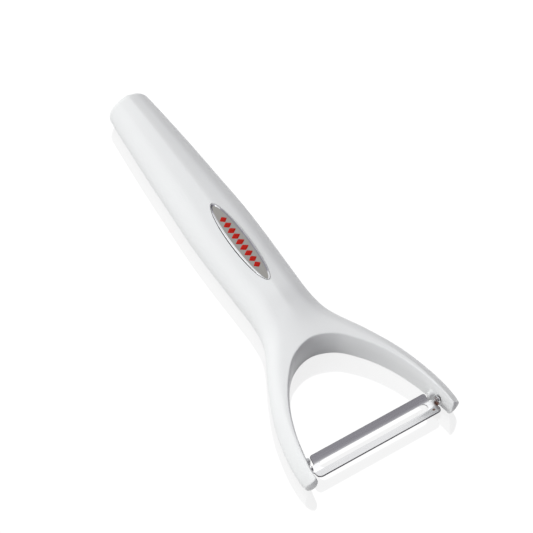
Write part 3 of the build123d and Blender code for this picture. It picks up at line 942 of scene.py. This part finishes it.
# %% Wheel-polished stainless steel
polished, shader = material("wheel_polished_stainless", Base_Color=colour("#DCDDDF"), Metallic=1.0)
place = node(polished, "TexCoord").outputs["Object"]
smears = node(
    polished, "TexNoise", {"Scale": 1 / (1.5 * mm), "Detail": 3.0}, {"Vector": place}
).outputs["Fac"]
shine_and_grain(polished, shader, smears, 0.05, 0.2, smears, 0.05, 0.02)
dress(rim, polished)

# %% Poured resin enamel
# the highlight is weak, as under the photograph's soft light
enamel, shader = material("poured_resin_enamel", IOR=1.5, Specular_IOR_Level=0.08)
place = node(enamel, "TexCoord").outputs["Object"]
cloud = node(enamel, "TexNoise", {"Scale": 1 / (0.8 * mm)}, {"Vector": place}).outputs["Fac"]
tone = node(
    enamel, "Mix", {6: colour("#B01002"), 7: colour("#C41A06")}, {0: cloud}, data_type="RGBA"
)
join(enamel, tone.outputs[2], shader, "Base Color")
shine_and_grain(enamel, shader, cloud, 0.1, 0.22, cloud, 0.1, 0.03)
dress(lozenges, enamel)

# %% [markdown]
# ### The blade's steel
#
# The blade is stainless strip, bright rolled. Rolling leaves fine lines along the strip, so
# its pattern is drawn out along X. The sheared edge is rough and darker, which the attribute
# made with the blade tells the shader. The steel is also painted browner and darker at the
# right neck and at one small spot near the front wing's right end.

# %% Bright-rolled stainless strip: lines and sheared edge
strip, shader = material("bright_rolled_stainless", Metallic=1.0)
place = node(strip, "TexCoord").outputs["Object"]
# real rolling lines are about 0.02 mm wide, so they are drawn coarser, to show
roll_long, roll_wide = 16, 0.2
roll_scale = (1 / (roll_long * mm), 1 / (roll_wide * mm), 1 / (roll_wide * mm))
rolled = node(strip, "Mapping", {"Scale": roll_scale}, {"Vector": place})
lines = node(strip, "TexNoise", {"Scale": 1.0, "Detail": 4.0}, {"Vector": rolled.outputs[0]})
tone = node(
    strip, "Mix", {6: colour("#C6C6C8"), 7: colour("#DCDDDE")}, {0: lines.outputs["Fac"]},
    data_type="RGBA",
)
edge = node(strip, "Attribute", attribute_name="sheared").outputs["Fac"]
cut = node(strip, "Mix", {7: colour("#88868A")}, {0: edge, 6: tone.outputs[2]}, data_type="RGBA")
print("rolling lines about", roll_long, "mm long and", roll_wide, "mm wide")

# %% Bright-rolled stainless strip: the browner places, and its shine
# the steel is painted browner and darker at the right neck and at one spot near the front wing's
# right end
neck_place = tuple(np.array((26.2, -81.9, 4.3)) * mm)
spot_place = tuple(np.array((23.5, -83.7, 5.2)) * mm)
from_neck = node(strip, "VectorMath", {1: neck_place}, {0: place}, operation="DISTANCE")
from_spot = node(strip, "VectorMath", {1: spot_place}, {0: place}, operation="DISTANCE")
neck_brown = node(
    strip, "MapRange", {"From Min": 1.7 * mm, "From Max": 0.7 * mm},
    {"Value": from_neck.outputs["Value"]}, interpolation_type="SMOOTHSTEP",
)
spot_brown = node(
    strip, "MapRange", {"From Min": 0.75 * mm, "From Max": 0.35 * mm},
    {"Value": from_spot.outputs["Value"]}, interpolation_type="SMOOTHSTEP",
)
brown_share = node(
    strip, "Math", {}, {0: neck_brown.outputs[0], 1: spot_brown.outputs[0]}, operation="MAXIMUM"
)
browned = node(
    strip, "Mix", {7: colour("#7D5F54")}, {0: brown_share.outputs[0], 6: cut.outputs[2]},
    data_type="RGBA",
)
join(strip, browned.outputs[2], shader, "Base Color")
shine = node(strip, "MapRange", {"To Min": 0.14, "To Max": 0.28}, {"Value": lines.outputs["Fac"]})
worn = node(strip, "Math", {1: 0.3}, {0: edge, 2: shine.outputs[0]}, operation="MULTIPLY_ADD")
join(strip, worn.outputs[0], shader, "Roughness")
furrow = node(
    strip, "Bump", {"Strength": 0.15, "Distance": 0.01 * mm}, {"Height": lines.outputs["Fac"]}
)
join(strip, furrow.outputs["Normal"], shader, "Normal")
dress(blade, strip)

# %% [markdown]
# ### The pins
#
# The pins keep their CAD shape. They are turned on a lathe, and the tool leaves rings about
# the pin's axis. The eye sees a dull ring of light rather than a spot. Their grey is painted
# darker than the blade's steel, as painted shade where the pins sit in the bearing holes. A
# Mapping node brings that axis to the texture's own, so that the rings are centred on the pin.

# %% Turned steel pins
turned_steel, shader = material("turned_pin_steel", Metallic=1.0)
place = node(turned_steel, "TexCoord").outputs["Object"]
to_axis = (0, -axis_y * mm, -axis_z * mm)
centred = node(turned_steel, "Mapping", {"Location": to_axis}, {"Vector": place})
# a ring of this texture is 0.314 wide at scale 1, so this makes rings of 0.15 mm, three times
# as wide as real ones, to show
ring_scale = 0.314 / (0.15 * mm)
rings = node(
    turned_steel, "TexWave", {"Scale": ring_scale}, {"Vector": centred.outputs[0]},
    wave_type="RINGS", rings_direction="X",
).outputs["Fac"]
# a dark grey with turned rings: the darkness is painted shade where the pins sit in the bearing
# holes
tone = node(
    turned_steel, "Mix", {6: colour("#8A8484"), 7: colour("#9C9696")}, {0: rings},
    data_type="RGBA",
)
join(turned_steel, tone.outputs[2], shader, "Base Color")
shine_and_grain(turned_steel, shader, rings, 0.28, 0.45, rings, 0.15, 0.01)
for name in ("pivot_pin_left", "pivot_pin_right"):
    dress(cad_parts[name], turned_steel)

# %% [markdown]
# ## Floor, light and camera
#
# The photograph is a cut-out look: a white sweep that still mirrors the peeler faintly, a
# large soft light from the left and behind, and a darker room in front and to the right. The
# floor is white to the camera and a plain grey to everything that it lights, so that the
# underside isn't lit from below as strongly as the top is from above.

# %% Floor
floor_mesh = bpy.data.meshes.new("floor")
floor_half = 3.0  # metres
corners = np.array([(-1, -1, 0), (1, -1, 0), (1, 1, 0), (-1, 1, 0)]) * floor_half
floor_mesh.from_pydata(corners, [], [(0, 1, 2, 3)])
floor = bpy.data.objects.new("floor", floor_mesh)
floor.location.z = -0.05 * mm
bpy.context.scene.collection.objects.link(floor)
paper, lit = material("white_floor", Base_Color=colour("#AAAAAA"), Roughness=0.5)
glow = node(paper, "Emission", {"Color": colour("#FFFFFF"), "Strength": 1.0})
path = node(paper, "LightPath")
mirror = node(paper, "BsdfGlossy", {"Color": colour("#FFFFFF"), "Roughness": 0.06})
seen = node(paper, "MixShader", {"Fac": 0.13}, {1: glow.outputs[0], 2: mirror.outputs[0]})
mostly = node(paper, "MixShader", {"Fac": 0.05}, {1: seen.outputs[0], 2: lit.outputs[0]})
both = node(
    paper, "Math", {}, {0: path.outputs["Is Camera Ray"], 1: path.outputs["Is Glossy Ray"]},
    operation="MAXIMUM",
)
shown = node(
    paper, "MixShader", {}, {"Fac": both.outputs[0], 1: lit.outputs[0], 2: mostly.outputs[0]}
)
surface = paper.node_tree.nodes["Material Output"].inputs["Surface"]
paper.node_tree.links.new(shown.outputs[0], surface)
dress(floor, paper)

# %% [markdown]
# ### The studio's sky
#
# Polished steel shows the room, not its own colour. So the sky gets brighter and darker parts
# in the directions that the flat of the blade, its wings and the badge's rim mirror to the
# camera. Panels of light would do it too, but a direction and two cosines are easier to tune.
# The darker the sky, the more violet it is, as the photograph's greys are.

# %% Sky of the studio
scene = bpy.context.scene
scene.view_settings.view_transform = "Standard"
world = bpy.data.worlds.new("studio")
scene.world = world
world.use_nodes = True
sky = world.node_tree.nodes["Background"]
way = node(world, "TexCoord").outputs["Generated"]
to_light = node(world, "VectorMath", {1: (-0.45, 0.89, 0)}, {0: way}, operation="DOT_PRODUCT")
strength = node(
    world, "MapRange", {"From Min": -0.6, "From Max": 0.6, "To Min": 0.2, "To Max": 1.0},
    {"Value": to_light.outputs["Value"]}, interpolation_type="SMOOTHSTEP",
)
# direction, where the part starts and where it is full (as cosines), and its strength
sky_parts = [
    ((0.300, -0.235, 0.924), 0.80, 0.95, 1.95),
    ((0.299, 0.474, 0.828), 0.93, 0.985, 1.9),
    ((-0.158, 0.474, 0.868), 0.95, 0.985, 0.4),
    ((0.299, 0.921, 0.250), 0.85, 0.97, 1.25),
    ((0.674, 0.474, 0.567), 0.93, 0.98, 1.7),
    ((0.920, -0.300, 0.250), 0.35, 0.85, 0.55),
]
for direction, start, full, factor in sky_parts:
    towards = node(world, "VectorMath", {1: direction}, {0: way}, operation="DOT_PRODUCT")
    part = node(
        world, "MapRange", {"From Min": start, "From Max": full, "To Min": 1.0, "To Max": factor},
        {"Value": towards.outputs["Value"]}, interpolation_type="SMOOTHSTEP",
    )
    strength = node(
        world, "Math", {}, {0: strength.outputs[0], 1: part.outputs[0]}, operation="MULTIPLY"
    )
world.node_tree.links.new(strength.outputs[0], sky.inputs["Strength"])
tint = node(
    world, "Mix", {6: colour("#EFE9FA"), 7: colour("#FFFFFF")}, {0: strength.outputs[0]},
    data_type="RGBA",
)
world.node_tree.links.new(tint.outputs[2], sky.inputs["Color"])
print("the sky has", len(sky_parts), "parts and", len(world.node_tree.nodes), "nodes")

# %% Key light
key = bpy.data.lights.new("key", "AREA")
key.shape = "RECTANGLE"
key.size, key.size_y = 0.9, 0.9
key.energy = 7.5
lamp = bpy.data.objects.new("key", key)
lamp_height, lamp_distance = radians(35), 1.5
lamp.location = Vector((-cos(lamp_height), -0.05, sin(lamp_height))) * lamp_distance
to_middle = Vector((0, -0.01, 0)) - lamp.location
lamp.rotation_euler = to_middle.to_track_quat("-Z", "Y").to_euler()
scene.collection.objects.link(lamp)
print("key light at", np.round(lamp.location, 2).tolist(), "m")

# %% [markdown]
# ### The camera
#
# A long lens from a metre away keeps far and near ends almost the same size, as in the
# photograph. Its angles were fitted to the photograph through the outline of the body.

# %% Camera, as fitted to the photograph
elevation, azimuth = radians(55.885), radians(-32.23)
aim = Vector((0.00793, 0.00217, 0))  # metres
back = Vector((sin(azimuth) * cos(elevation), -cos(azimuth) * cos(elevation), sin(elevation)))
lens = bpy.data.cameras.new("camera")
lens.sensor_width, lens.lens = 36, 183.9
camera = bpy.data.objects.new("camera", lens)
camera.location = aim + back
camera.rotation_euler = (-back).to_track_quat("-Z", "Y").to_euler()
scene.collection.objects.link(camera)
scene.camera = camera
print("camera at", np.round(camera.location, 3).tolist(), "m")
